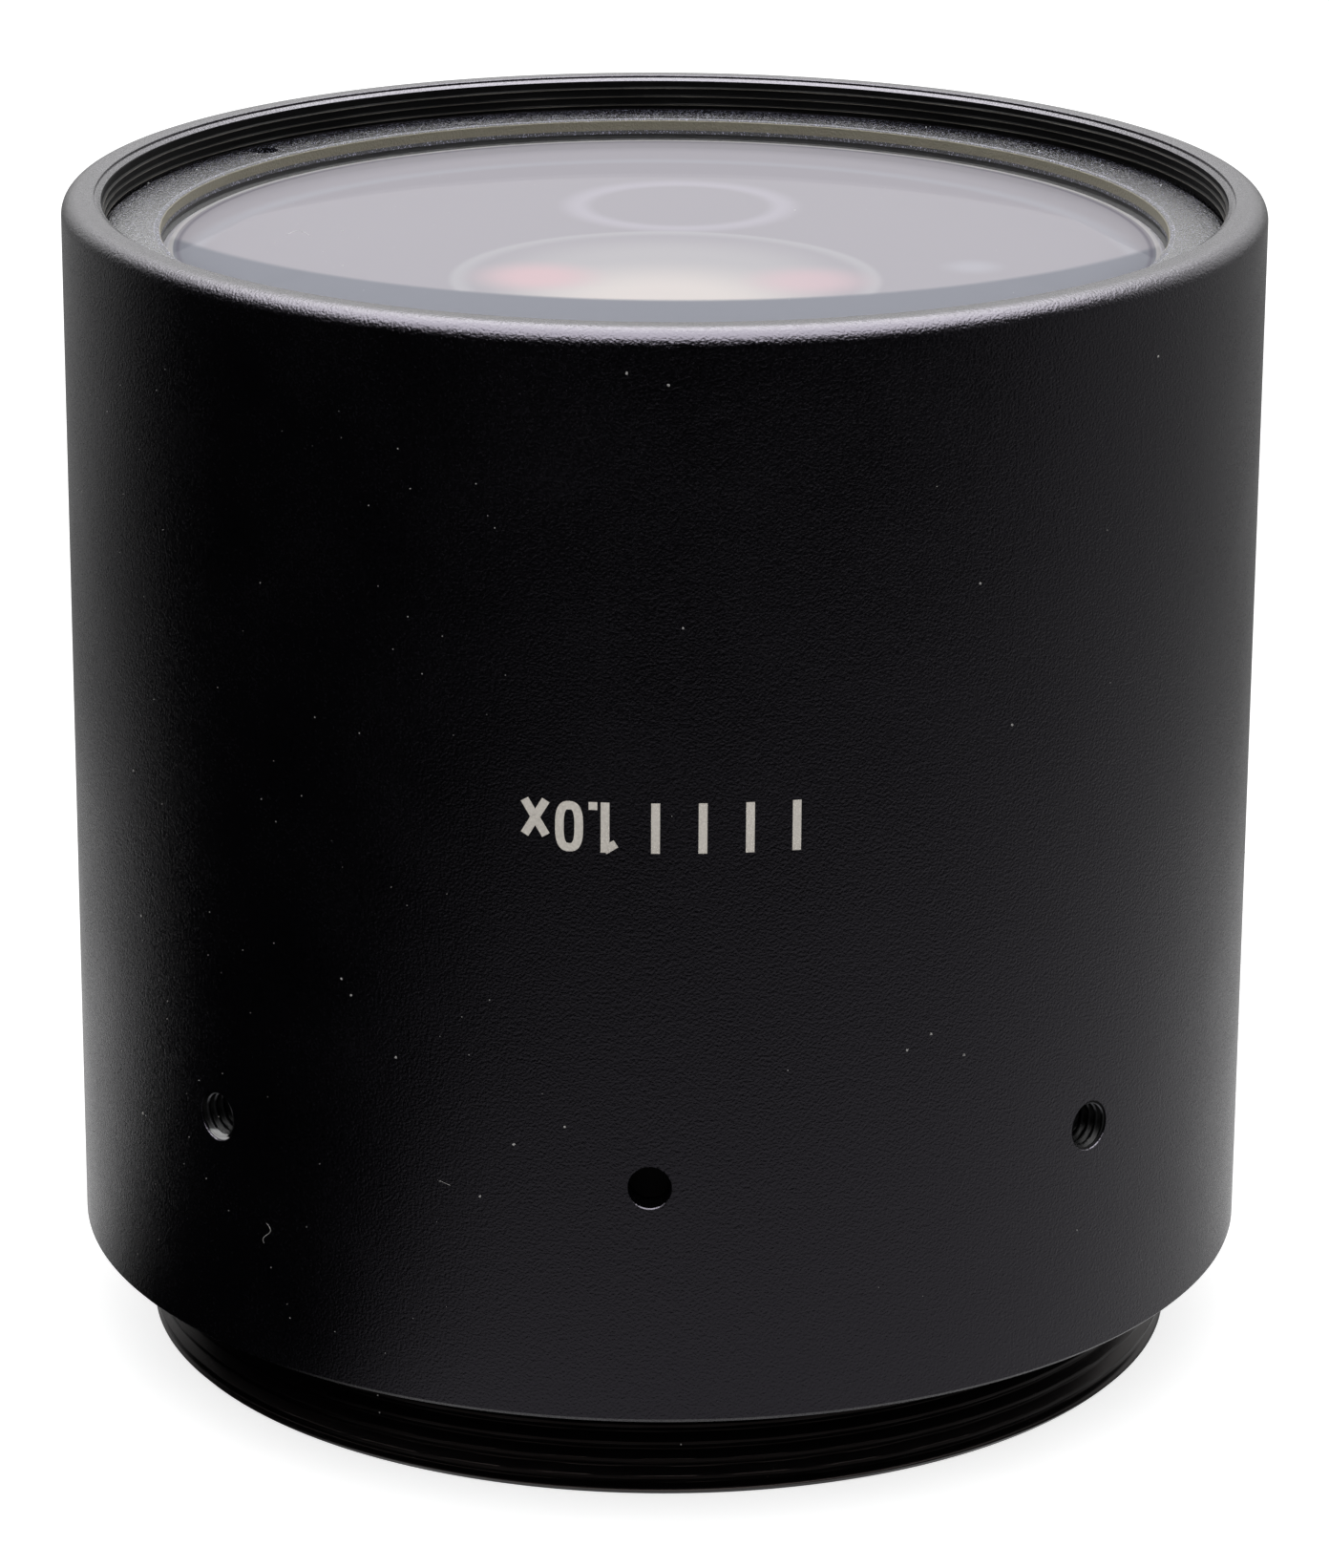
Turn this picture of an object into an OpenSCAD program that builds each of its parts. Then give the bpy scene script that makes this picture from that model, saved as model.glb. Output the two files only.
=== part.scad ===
// Plan objective of a stereo microscope, standing on its mounting thread with the front lens up.
// Millimetres, +Z up along the optical axis. z = 0 is the end face of the mounting thread.

/* [Outer sleeve] */
// Outer diameter of the sleeve
sleeve_d = 66; // [65.5:0.1:70]
// Height of the sleeve from its mounting shoulder to its rim
sleeve_h = 59.1; // [57:0.1:66]
// Wall of the sleeve round the lens barrel
sleeve_wall = 2.8; // [2.5:0.1:3]
// Radius of the round on the outer edge of the rim
rim_round = 1; // [0.4:0.1:1.4]
// Depth of the fine step inside the rim's flat land
rim_step = 0.12; // [0.05:0.01:0.2]
// Width of that step
rim_step_w = 0.25; // [0.15:0.05:0.35]
// Depth of the lead-in chamfer of the front thread
lead_in_depth = 0.35; // [0.2:0.05:0.6]
// Width of the lead-in chamfer
lead_in_w = 0.25; // [0.15:0.05:0.3]
// Radial depth of the front thread outside the sleeve's bore
front_thread_step = 0.5; // [0.3:0.1:0.7]
// Chamfer on the lower outer edge of the sleeve
sleeve_foot_chamfer = 0.25; // [0.1:0.05:0.6]
// Thickness of the inward lip that carries the lens barrel
lip_t = 3; // [2:0.1:4]

/* [Radial holes] */
// Height of the radial holes above the mounting shoulder
hole_h = 13.35; // [10:0.05:20]
// Diameter of the holes tapped for the set screws
tapped_hole_d = 2.7; // [2.4:0.1:3.2]
// Number of set screws, evenly spaced
set_screws_n = 4; // [3:1:6]
// Angle of the first set screw from the front
set_screw_az = 45; // [30:1:60]
// Length of a set screw
set_screw_l = 2.5; // [2:0.1:3]
// Width across the flats of a set screw's socket
socket_af = 1.5; // [1.3:0.1:1.7]
// Depth of a set screw's socket
socket_depth = 1.2; // [0.8:0.1:1.4]
// Depth of the flat-floored seats that the set screws press on
screw_seat_depth = 1.5; // [1:0.1:1.8]
// Diameter of the plain locating hole at the front
pin_hole_d = 2.3; // [2:0.1:2.6]
// Length of the locating pin
pin_l = 3.8; // [3:0.1:4.2]
// How deep the pin stands in the wall of the lens barrel
pin_sunk = 2.4; // [1.8:0.1:2.6]

/* [Mount] */
// Step from the outside of the lens barrel in to the crests of the mounting thread
mount_step = 0.9; // [0.7:0.1:1.2]
// Height of the threaded end below the shoulder
mount_h = 5.9; // [5:0.1:7]
// Height of the relief above the mounting thread
relief_h = 0.8; // [0.5:0.1:1.2]
// Radial depth of that relief
relief_depth = 0.45; // [0.2:0.05:0.6]
// Chamfer at the end of the mounting thread
mount_chamfer = 0.3; // [0.2:0.05:0.5]
// Step from the mounting thread out to the neck inside the sleeve's lip
neck_step = 0.3; // [0.2:0.05:0.4]
// Wall under the mounting thread
mount_wall = 2.6; // [2.2:0.1:2.8]
// Thickness of the shim that sets the parfocal height
shim_t = 0.3; // [0.1:0.05:0.5]

/* [Front retaining ring] */
// Depth of the ring's face below the rim
ring_depth = 1.95; // [1.2:0.05:2.4]
// How far the ring's lip reaches in over the edge of the front lens
ring_overlap = 0.75; // [0.6:0.05:1.9]
// Thickness of the lip over the lens
ring_lip_t = 0.85; // [0.6:0.05:1.2]
// Full height of the ring
ring_h = 2.4; // [2:0.1:2.6]
// Width of the broken edges round the ring's face
ring_edge_break = 0.1; // [0.05:0.01:0.15]
// Diameter of the spanner holes
spanner_hole_d = 1.6; // [1.2:0.1:1.7]
// Depth of the spanner holes
spanner_hole_depth = 1.5; // [1:0.1:1.8]
// Angle of the first spanner hole from the front
spanner_az = -127.4; // [-180:0.1:180]

/* [Front lens group] */
// Wall of the lens barrel round the front lenses
barrel_wall = 1.6; // [1.4:0.05:1.8]
// Width of the flat lands on which the front lenses seat
front_seat_w = 2; // [1.5:0.1:2.5]
// Edge thickness of the front crown
front_crown_edge = 2.2; // [1.6:0.1:3]
// Radius of the cemented face in the front group
front_cement_r = 80; // [70:1:110]
// Centre thickness of the front flint
front_flint_t = 2.6; // [2:0.1:3.2]
// Radius of the front group's rear face
front_rear_r = 260; // [200:5:400]
// Height of the spacer behind the front group
front_spacer_h = 5; // [4:0.1:6]
// Edge thickness of the middle lens
middle_edge = 3; // [2.4:0.1:3.6]
// Radius of the middle lens's upper face
middle_upper_r = 180; // [150:5:260]
// Radius of the middle lens's lower face
middle_lower_r = 120; // [110:5:200]
// Height of the spacer behind the middle lens
middle_spacer_h = 4; // [3.6:0.1:5]
// Thickness of the glare stop
stop_t = 1.2; // [0.8:0.1:1.6]
// How far the glare stop reaches in past the bore of the barrel's web
stop_reach = 0.6; // [0.2:0.1:3.6]
// Thickness of the glare stop's edge
stop_edge_t = 0.3; // [0.2:0.05:0.5]

/* [Rear lens group] */
// Thickness of the barrel's inner web between the two groups
web_t = 3; // [2.4:0.1:3.6]
// Wall of the rear cell
rear_cell_wall = 1.9; // [1.5:0.1:2.2]
// Thickness of the rear cell's upper lip
rear_cell_lip_t = 2.3; // [1.8:0.1:2.8]
// Width of the flat lands on which the rear lenses seat
rear_seat_w = 2.1; // [1.6:0.1:2.6]
// Edge thickness of the relay crown
relay_crown_edge = 2.4; // [1.8:0.1:3]
// Radius of the relay crown's upper face
relay_upper_r = 90; // [80:1:140]
// Radius of the cemented face in the relay group
relay_cement_r = 62; // [55:1:90]
// Centre thickness of the relay flint
relay_flint_t = 2.2; // [1.8:0.1:2.8]
// Radius of the relay group's hollow rear face
relay_rear_r = 48; // [44:1:70]
// Width of the wide land round the relay group's hollow rear face
relay_land_w = 4; // [3.4:0.1:4.6]
// Height of the spacer behind the relay group
rear_spacer_h = 3.5; // [3:0.1:4.2]
// Edge thickness of the rear lens
rear_edge = 4.6; // [3.6:0.1:5]
// Radius of the rear lens's upper face
rear_upper_r = 95; // [80:1:160]
// Radius of the rear lens's lower face
rear_lower_r = 210; // [160:5:300]
// Height of the rear retaining ring
rear_ring_h = 2.7; // [2.2:0.1:3]
// How far the rear cell stands past its retaining ring
rear_cell_rim = 1; // [0.6:0.1:1.4]
// Height of the ring that locks the rear cell in the barrel
lock_ring_h = 2.5; // [2:0.1:2.8]
// Radial width of that locking ring
lock_ring_w = 2.5; // [2:0.1:3]

/* [Fits] */
// Thickness of the seals under the two retaining rings
seal_t = 0.3; // [0.2:0.05:0.4]
// Radial gap between parts that slide into each other
slide_gap = 0.1; // [0.05:0.01:0.15]
// How far the spacers and rings stay outside the polished faces
polish_gap = 0.2; // [0.1:0.05:0.4]
// Radial gap round screwed rings, screws and the pin
screw_gap = 0.05; // [0.03:0.01:0.08]
// Gap between the front ring and the end of the lens barrel
ring_gap = 0.25; // [0.15:0.05:0.4]
// Bevel on the edges of lenses and rings
edge_bevel = 0.25; // [0.1:0.05:0.4]

/* [Hidden] */
$fn = 180;

// Facets of the wide arcs in the lens profiles
arc_fn = 720;
// Extra reach of a cut past the face that it opens
cut = 1;

// Height of a spherical face of radius curve over a half-width r
function sag(curve, r) = curve - sqrt(curve * curve - r * r);

// Radii from the outside in
sleeve_r = sleeve_d / 2;
sleeve_bore_r = sleeve_r - sleeve_wall;
barrel_r = sleeve_bore_r - slide_gap;
thread_root_r = sleeve_bore_r + front_thread_step;
lead_in_r = thread_root_r + lead_in_w;
land_inner_r = lead_in_r + rim_step_w;
mount_r = barrel_r - mount_step;
neck_r = mount_r + neck_step;
lip_bore_r = neck_r + slide_gap;
ring_r = thread_root_r - screw_gap;
front_bore_r = barrel_r - barrel_wall;
front_r = front_bore_r - slide_gap;
front_clear_r = front_r - front_seat_w;
ring_clear_r = front_r - ring_overlap;
rear_bore_r = mount_r - mount_wall;
rear_cell_r = rear_bore_r - slide_gap;
rear_cell_bore_r = rear_cell_r - rear_cell_wall;
rear_r = rear_cell_bore_r - slide_gap;
rear_clear_r = rear_r - rear_seat_w;
relay_hollow_r = rear_r - relay_land_w;

// Heights of the sleeve and of the barrel's seat in it
z_rim = mount_h + sleeve_h;
z_lip = mount_h + lip_t;
z_barrel_seat = z_lip + shim_t;
z_holes = mount_h + hole_h;

// Heights down the front group, from the ring's face to the barrel's web
z_ring = z_rim - ring_depth;
z_ring_lip = z_ring - ring_lip_t;
z_ring_low = z_ring - ring_h;
z_barrel_top = z_ring_low - ring_gap;
z_front = z_ring_lip - seal_t;
z_front_cement = z_front - front_crown_edge;
z_front_vertex = z_front_cement - sag(front_cement_r, front_r) - front_flint_t;
z_front_low = z_front_vertex + sag(front_rear_r, front_clear_r);
z_middle = z_front_low - front_spacer_h;
z_middle_low = z_middle - middle_edge;
z_stop = z_middle_low - middle_spacer_h;
z_stop_low = z_stop - stop_t;
z_web_low = z_stop_low - web_t;

// Heights down the rear group, from the barrel's web to the locking ring
z_relay = z_web_low - rear_cell_lip_t;
z_relay_cement = z_relay - relay_crown_edge;
z_relay_vertex = z_relay_cement - sag(relay_cement_r, rear_r) - relay_flint_t;
z_relay_low = z_relay_vertex - sag(relay_rear_r, relay_hollow_r);
z_rear = z_relay_low - rear_spacer_h;
z_rear_low = z_rear - rear_edge;
z_rear_ring = z_rear_low - seal_t;
z_rear_ring_low = z_rear_ring - rear_ring_h;
z_rear_cell_low = z_rear_ring_low - rear_cell_rim;
z_lock_low = z_rear_cell_low - lock_ring_h;

// Places of the radial parts, measured from the optical axis
screw_tip_r = barrel_r - screw_seat_depth;
pin_inner_r = barrel_r - pin_sunk;
pin_r = pin_hole_d / 2 - screw_gap;
web_bore_r = rear_clear_r + polish_gap;
stop_clear_r = web_bore_r - stop_reach;
spanner_r = (front_bore_r + ring_r) / 2;

// Puts a shape that is drawn along +Z onto a radius at angle az from the front and height z
module radial(az, z)
    rotate([0, 0, az])
        translate([0, 0, z])
            rotate([90, 0, 0])
                children();

// Repeats a radial shape at each set screw
module at_set_screws()
    for (i = [0 : set_screws_n - 1])
        radial(set_screw_az + i * 360 / set_screws_n, z_holes)
            children();

// Half section of a plain ring with bevelled outer corners
module ring_section(inner, outer, low, high, bevel)
    polygon([
        [inner, low], [outer - bevel, low], [outer, low + bevel],
        [outer, high - bevel], [outer - bevel, high], [inner, high]
    ]);

// Half section of the cap between a spherical face and its flat land
module dome(curve, half_w, land_z, side)
    translate([0, land_z])
        intersection() {
            translate([0, side * (sag(curve, half_w) - curve)])
                circle(curve, $fn = arc_fn);
            translate([0, side > 0 ? -cut : -curve])
                square([half_w, curve + cut]);
        }

// Half section of the hollow that a spherical face makes below its flat land
module dish(curve, half_w, land_z, side)
    translate([0, land_z])
        intersection() {
            translate([0, side * (curve - sag(curve, half_w))])
                circle(curve, $fn = arc_fn);
            translate([0, side > 0 ? -curve : -cut])
                square([half_w, curve + cut]);
        }

// Ring between two lenses, with a shallow groove round its inner wall that traps stray light
module spacer(inner, outer, low, high)
    rotate_extrude()
        difference() {
            ring_section(inner, outer, low, high, edge_bevel);
            translate([inner - cut, low + edge_bevel * 2])
                square([cut + edge_bevel, high - low - edge_bevel * 4]);
        }

// Half section of the sleeve, with its stepped rim, front thread bore and inward lip
module sleeve_section()
    difference() {
        translate([lip_bore_r, mount_h])
            square([sleeve_r - lip_bore_r, sleeve_h]);
        translate([sleeve_r - rim_round, z_rim - rim_round])
            difference() {
                square(rim_round + cut);
                circle(rim_round);
            }
        polygon([
            [sleeve_r - sleeve_foot_chamfer, mount_h], [sleeve_r, mount_h + sleeve_foot_chamfer],
            [sleeve_r + cut, mount_h], [sleeve_r, mount_h - cut]
        ]);
        translate([0, z_lip])
            square([sleeve_bore_r, sleeve_h]);
        translate([0, z_ring_low - ring_gap])
            square([thread_root_r, sleeve_h]);
        polygon([
            [thread_root_r, z_rim - rim_step - lead_in_depth], [lead_in_r, z_rim - rim_step],
            [land_inner_r, z_rim - rim_step], [land_inner_r, z_rim + cut], [0, z_rim + cut],
            [0, z_rim - rim_step - lead_in_depth]
        ]);
    }

module outer_sleeve()
    color([0.09, 0.09, 0.1])
        difference() {
            rotate_extrude()
                sleeve_section();
            at_set_screws()
                cylinder(r = tapped_hole_d / 2, h = sleeve_d, $fn = 48);
            radial(0, z_holes)
                cylinder(r = pin_hole_d / 2, h = sleeve_d, $fn = 48);
        }

// Half section of the lens barrel, from its mounting thread to its open front end
module barrel_section()
    polygon([
        [rear_bore_r + edge_bevel, 0], [mount_r - mount_chamfer, 0], [mount_r, mount_chamfer],
        [mount_r, mount_h - relief_h], [mount_r - relief_depth, mount_h - relief_h],
        [mount_r - relief_depth, mount_h], [neck_r, mount_h], [neck_r, z_barrel_seat],
        [barrel_r, z_barrel_seat], [barrel_r, z_barrel_top - edge_bevel],
        [barrel_r - edge_bevel, z_barrel_top], [front_bore_r + edge_bevel, z_barrel_top],
        [front_bore_r, z_barrel_top - edge_bevel], [front_bore_r, z_stop_low],
        [web_bore_r, z_stop_low], [web_bore_r, z_web_low], [rear_bore_r, z_web_low],
        [rear_bore_r, edge_bevel]
    ]);

module lens_barrel()
    color([0.05, 0.05, 0.055])
        difference() {
            rotate_extrude()
                barrel_section();
            at_set_screws()
                translate([0, 0, screw_tip_r])
                    cylinder(r = tapped_hole_d / 2, h = sleeve_wall + screw_seat_depth, $fn = 48);
            radial(0, z_holes)
                translate([0, 0, pin_inner_r])
                    cylinder(r = pin_hole_d / 2, h = sleeve_wall + pin_sunk, $fn = 48);
        }

module parfocal_shim()
    color([0.75, 0.62, 0.3])
        translate([0, 0, z_lip])
            difference() {
                cylinder(r = barrel_r, h = shim_t);
                translate([0, 0, -cut])
                    cylinder(r = lip_bore_r, h = shim_t + 2 * cut);
            }

// The lip reaches over the lens edge and the skirt carries the thread and the spanner holes
module front_retaining_ring()
    color([0.2, 0.2, 0.21])
        difference() {
            rotate_extrude()
                difference() {
                    ring_section(ring_clear_r, ring_r, z_ring_low, z_ring, ring_edge_break);
                    translate([0, z_ring_low - cut])
                        square([front_bore_r, ring_h - ring_lip_t + cut]);
                    polygon([
                        [ring_clear_r, z_ring - ring_edge_break],
                        [ring_clear_r + ring_edge_break, z_ring], [ring_clear_r, z_ring + cut],
                        [ring_clear_r - cut, z_ring - ring_edge_break]
                    ]);
                }
            for (turn = [0, 180])
                rotate([0, 0, spanner_az + turn])
                    translate([0, -spanner_r, z_ring - spanner_hole_depth])
                        cylinder(r = spanner_hole_d / 2, h = spanner_hole_depth + cut, $fn = 48);
        }

module front_seal()
    color([0.12, 0.12, 0.12])
        rotate_extrude()
            translate([ring_clear_r + slide_gap, z_front])
                square([front_r - ring_clear_r - slide_gap, seal_t]);

// Flat front face, deep cemented rear face
module front_crown()
    color([0.75, 0.78, 0.85, 0.45])
        rotate_extrude()
            union() {
                polygon([
                    [0, z_front_cement], [front_r, z_front_cement],
                    [front_r, z_front - edge_bevel], [front_r - edge_bevel, z_front], [0, z_front]
                ]);
                dome(front_cement_r, front_r, z_front_cement, -1);
            }

module front_flint()
    color([0.68, 0.72, 0.82, 0.45])
        rotate_extrude()
            difference() {
                union() {
                    translate([0, z_front_low])
                        square([front_r, z_front_cement - z_front_low]);
                    dome(front_rear_r, front_clear_r, z_front_low, -1);
                }
                dish(front_cement_r, front_r, z_front_cement, 1);
            }

module front_spacer()
    color([0.1, 0.1, 0.1])
        spacer(front_clear_r + polish_gap, front_r, z_middle, z_front_low);

module middle_lens()
    color([0.78, 0.8, 0.86, 0.45])
        rotate_extrude()
            union() {
                ring_section(0, front_r, z_middle_low, z_middle, edge_bevel);
                dome(middle_upper_r, front_clear_r, z_middle, 1);
                dome(middle_lower_r, front_clear_r, z_middle_low, -1);
            }

module middle_spacer()
    color([0.1, 0.1, 0.1])
        spacer(front_clear_r + polish_gap, front_r, z_stop, z_middle_low);

// A flat washer with a bevelled knife edge that faces the front
module glare_stop()
    color([0.06, 0.06, 0.06])
        rotate_extrude()
            polygon([
                [stop_clear_r, z_stop_low], [front_r, z_stop_low], [front_r, z_stop],
                [stop_clear_r + stop_t, z_stop], [stop_clear_r, z_stop_low + stop_edge_t]
            ]);

// Tube with an upper lip, which seats on the barrel's web and holds the rear lenses
module rear_cell()
    color([0.14, 0.14, 0.15])
        rotate_extrude()
            difference() {
                ring_section(web_bore_r, rear_cell_r, z_rear_cell_low, z_web_low, edge_bevel);
                translate([0, z_rear_cell_low - cut])
                    square([rear_cell_bore_r, z_relay - z_rear_cell_low + cut]);
            }

module relay_crown()
    color([0.76, 0.8, 0.86, 0.45])
        rotate_extrude()
            union() {
                polygon([
                    [0, z_relay_cement], [rear_r, z_relay_cement], [rear_r, z_relay - edge_bevel],
                    [rear_r - edge_bevel, z_relay], [0, z_relay]
                ]);
                dome(relay_upper_r, rear_clear_r, z_relay, 1);
                dome(relay_cement_r, rear_r, z_relay_cement, -1);
            }

module relay_flint()
    color([0.66, 0.7, 0.8, 0.45])
        rotate_extrude()
            difference() {
                translate([0, z_relay_low])
                    square([rear_r, z_relay_cement - z_relay_low]);
                dish(relay_cement_r, rear_r, z_relay_cement, 1);
                dish(relay_rear_r, relay_hollow_r, z_relay_low, -1);
            }

module rear_spacer()
    color([0.1, 0.1, 0.1])
        spacer(rear_clear_r + polish_gap, rear_r, z_rear, z_relay_low);

module rear_lens()
    color([0.78, 0.8, 0.86, 0.45])
        rotate_extrude()
            union() {
                ring_section(0, rear_r, z_rear_low, z_rear, edge_bevel);
                dome(rear_upper_r, rear_clear_r, z_rear, 1);
                dome(rear_lower_r, rear_clear_r, z_rear_low, -1);
            }

module rear_seal()
    color([0.12, 0.12, 0.12])
        rotate_extrude()
            translate([rear_clear_r + polish_gap, z_rear_ring])
                square([rear_seat_w - polish_gap - edge_bevel, seal_t]);

module rear_retaining_ring()
    color([0.16, 0.16, 0.17])
        rotate_extrude()
            ring_section(rear_clear_r + polish_gap, rear_cell_bore_r - screw_gap,
                         z_rear_ring_low, z_rear_ring, edge_bevel);

module cell_lock_ring()
    color([0.16, 0.16, 0.17])
        rotate_extrude()
            ring_section(rear_bore_r - lock_ring_w, rear_bore_r - screw_gap, z_lock_low,
                         z_rear_cell_low, edge_bevel);

// Cup-ended screw body with a hexagon socket
module set_screw()
    translate([0, 0, screw_tip_r])
        difference() {
            union() {
                cylinder(r1 = tapped_hole_d / 2 - screw_gap - edge_bevel,
                         r2 = tapped_hole_d / 2 - screw_gap, h = edge_bevel, $fn = 48);
                translate([0, 0, edge_bevel])
                    cylinder(r = tapped_hole_d / 2 - screw_gap, h = set_screw_l - edge_bevel,
                             $fn = 48);
            }
            translate([0, 0, set_screw_l - socket_depth])
                cylinder(r = socket_af / 2 / cos(30), h = socket_depth + cut, $fn = 6);
        }

module set_screws()
    color([0.18, 0.18, 0.19])
        at_set_screws()
            set_screw();

module locating_pin()
    color([0.3, 0.3, 0.32])
        radial(0, z_holes)
            translate([0, 0, pin_inner_r])
                cylinder(r = pin_r, h = pin_l, $fn = 48);

outer_sleeve();
lens_barrel();
parfocal_shim();
front_retaining_ring();
front_seal();
front_crown();
front_flint();
front_spacer();
middle_lens();
middle_spacer();
glare_stop();
rear_cell();
relay_crown();
relay_flint();
rear_spacer();
rear_lens();
rear_seal();
rear_retaining_ring();
cell_lock_ring();
set_screws();
locating_pin();
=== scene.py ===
# %% [markdown]
# # Main objective of a stereo microscope, standing on its mounting thread
# The object is a wide black tube with glass in it. Almost all of it is turned on a lathe, so almost
# every piece here is an outline spun round one axis. The CAD frame brings the exact shapes, and this
# script adds what a drawing leaves out: real screw threads, polished and ground glass, the grain of
# blasted metal, print, dust, a floor, light and the camera.

# %% Load the frame
import math, random
import bpy
from mathutils import Matrix, Vector


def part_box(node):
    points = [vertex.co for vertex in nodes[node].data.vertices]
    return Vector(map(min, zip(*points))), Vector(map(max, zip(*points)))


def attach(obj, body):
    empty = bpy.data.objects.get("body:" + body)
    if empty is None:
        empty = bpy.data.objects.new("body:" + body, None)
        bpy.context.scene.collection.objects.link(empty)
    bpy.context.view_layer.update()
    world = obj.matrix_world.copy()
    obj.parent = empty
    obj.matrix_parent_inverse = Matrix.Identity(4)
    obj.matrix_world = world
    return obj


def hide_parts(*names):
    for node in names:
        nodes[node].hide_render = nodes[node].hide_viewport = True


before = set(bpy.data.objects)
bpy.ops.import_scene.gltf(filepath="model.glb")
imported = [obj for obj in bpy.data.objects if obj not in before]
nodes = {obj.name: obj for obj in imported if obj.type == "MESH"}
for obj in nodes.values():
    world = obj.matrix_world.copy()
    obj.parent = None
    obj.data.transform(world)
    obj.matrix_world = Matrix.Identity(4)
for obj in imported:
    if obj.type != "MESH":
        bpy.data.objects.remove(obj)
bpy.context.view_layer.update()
MM = 0.001

# %% [markdown]
# ## Heights and radii
# Every size below repeats a value of the CAD source, in millimetres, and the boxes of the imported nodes
# are printed beside them. A lathe outline that starts from measured numbers needs no fitting later.
# Two sizes differ on purpose. The wall behind the front thread is cut 0.14 mm deeper than the plain
# bore of the CAD, so that the crests of the thread stand clear of it, and the lead-in is flatter.

# %% Sizes that the pieces share
SLEEVE_R, BORE_R, LIP_R = 33.0, 30.2, 29.6
SHOULDER_Z, LIP_TOP_Z, SEAT_Z, RIM_Z = 5.9, 8.9, 60.4, 65.0
FRONT_BORE_R, THREAD_ROOT_R, LAND_R = 30.7, 30.84, 31.2
LEAD_IN_TOP, LEAD_IN_LOW, RING_FACE_Z = 64.88, 64.74, 63.05
MOUNT_R, MOUNT_PITCH, FINE_PITCH = 29.2, 1.0, 0.5
HOLE_Z, TAPPED_R, PIN_HOLE_R, SCREW_TOP_R = 19.25, 1.35, 1.15, 31.1
TAPPED_AT = (45, 135, 225, 315)
FRONT_R, FRONT_Z, FRONT_CEMENT_Z = 28.4, 61.9, 59.7
for node in ("outer_sleeve", "lens_barrel", "front_retaining_ring", "front_crown", "set_screws"):
    low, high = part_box(node)
    print(f"{node}: reach {high.x / MM:.2f} mm, from {low.z / MM:.2f} to {high.z / MM:.2f} mm high")

# %% [markdown]
# ## Spinning an outline
# A lathe turns a profile round the optical axis, and so does this helper. Blender has a Screw modifier
# for it, but writing the rings of points one by one lets a thread push each point in or out as it goes
# round, and lets each stretch of the outline have a finish of its own, as polished and ground glass do.

# %% A lathe for meshes
def add_piece(name, mesh):
    """Puts a mesh into the scene as an object."""
    piece = bpy.data.objects.new(name, mesh)
    bpy.context.scene.collection.objects.link(piece)
    return piece


def spin(name, outline, around=192, closed=True, push=None, slots=None, sharp=35):
    """outline is (radius, height) in mm; push moves a radius as it goes round; slots give the finishes."""
    rings, points, faces, finishes = [], [], [], []
    for r, z in outline:
        if r < 1e-6:
            rings.append([len(points)] * around)
            points.append((0, 0, z * MM))
            continue
        rings.append(list(range(len(points), len(points) + around)))
        for k in range(around):
            turn = 2 * math.pi * k / around
            radius = push(r, z, turn) if push else r
            points.append((radius * math.sin(turn) * MM, -radius * math.cos(turn) * MM, z * MM))
    for s in range(len(outline) if closed else len(outline) - 1):
        a, b = rings[s], rings[(s + 1) % len(rings)]
        for k in range(around):
            n = (k + 1) % around
            corners = list(dict.fromkeys((a[k], a[n], b[n], b[k])))
            if len(corners) > 2:
                faces.append(corners)
                finishes.append(slots[s] if slots else 0)
    mesh = bpy.data.meshes.new(name)
    mesh.from_pydata(points, [], faces)
    mesh.polygons.foreach_set("material_index", finishes)
    mesh.polygons.foreach_set("use_smooth", [True] * len(faces))
    volume = sum(f.center.dot(f.normal) * f.area for f in mesh.polygons) / 3
    if volume < 0:
        mesh.flip_normals()
    mesh.set_sharp_from_angle(angle=math.radians(sharp))
    print(f"{name}: {len(faces)} faces, {abs(volume) / MM ** 3:.0f} mm3")
    return add_piece(name, mesh)

# %% [markdown]
# ## Small shader nodes
# A finish is a small network of shader nodes. Each helper below adds one node, or a few that belong
# together, and gives back its output. A finish can then be written like a sum. All noise runs in
# object coordinates, which keeps a grain the same size all over and needs no unwrapping.

# %% Helpers that add nodes
def feed(tree, socket, value):
    """Links a socket to the output of another node, or types a value into it."""
    if hasattr(value, "links"):
        tree.links.new(value, socket)
    else:
        socket.default_value = value


def math_node(tree, operation, *values):
    node = tree.nodes.new("ShaderNodeMath")
    node.operation = operation
    for socket, value in zip(node.inputs, values):
        feed(tree, socket, value)
    return node.outputs[0]


def remap(tree, value, low, high, to_low, to_high, smooth=False):
    node = tree.nodes.new("ShaderNodeMapRange")
    node.interpolation_type = "SMOOTHSTEP" if smooth else "LINEAR"
    for name, number in (("From Min", low), ("From Max", high), ("To Min", to_low), ("To Max", to_high)):
        node.inputs[name].default_value = number
    tree.links.new(value, node.inputs["Value"])
    return node.outputs["Result"]


def mix_numbers(tree, factor, below, above):
    node = tree.nodes.new("ShaderNodeMix")
    for name, value in (("Factor", factor), ("A", below), ("B", above)):
        feed(tree, node.inputs[name], value)
    return node.outputs["Result"]


def mix_colours(tree, factor, below, above):
    node = tree.nodes.new("ShaderNodeMix")
    node.data_type = "RGBA"
    tree.links.new(factor, node.inputs["Factor"])
    for name, colour in (("A", below), ("B", above)):
        feed(tree, node.inputs[name], colour if hasattr(colour, "links") else (*colour, 1))
    return node.outputs["Result"]


def object_place(tree):
    return tree.nodes.new("ShaderNodeTexCoord").outputs["Object"]


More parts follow.
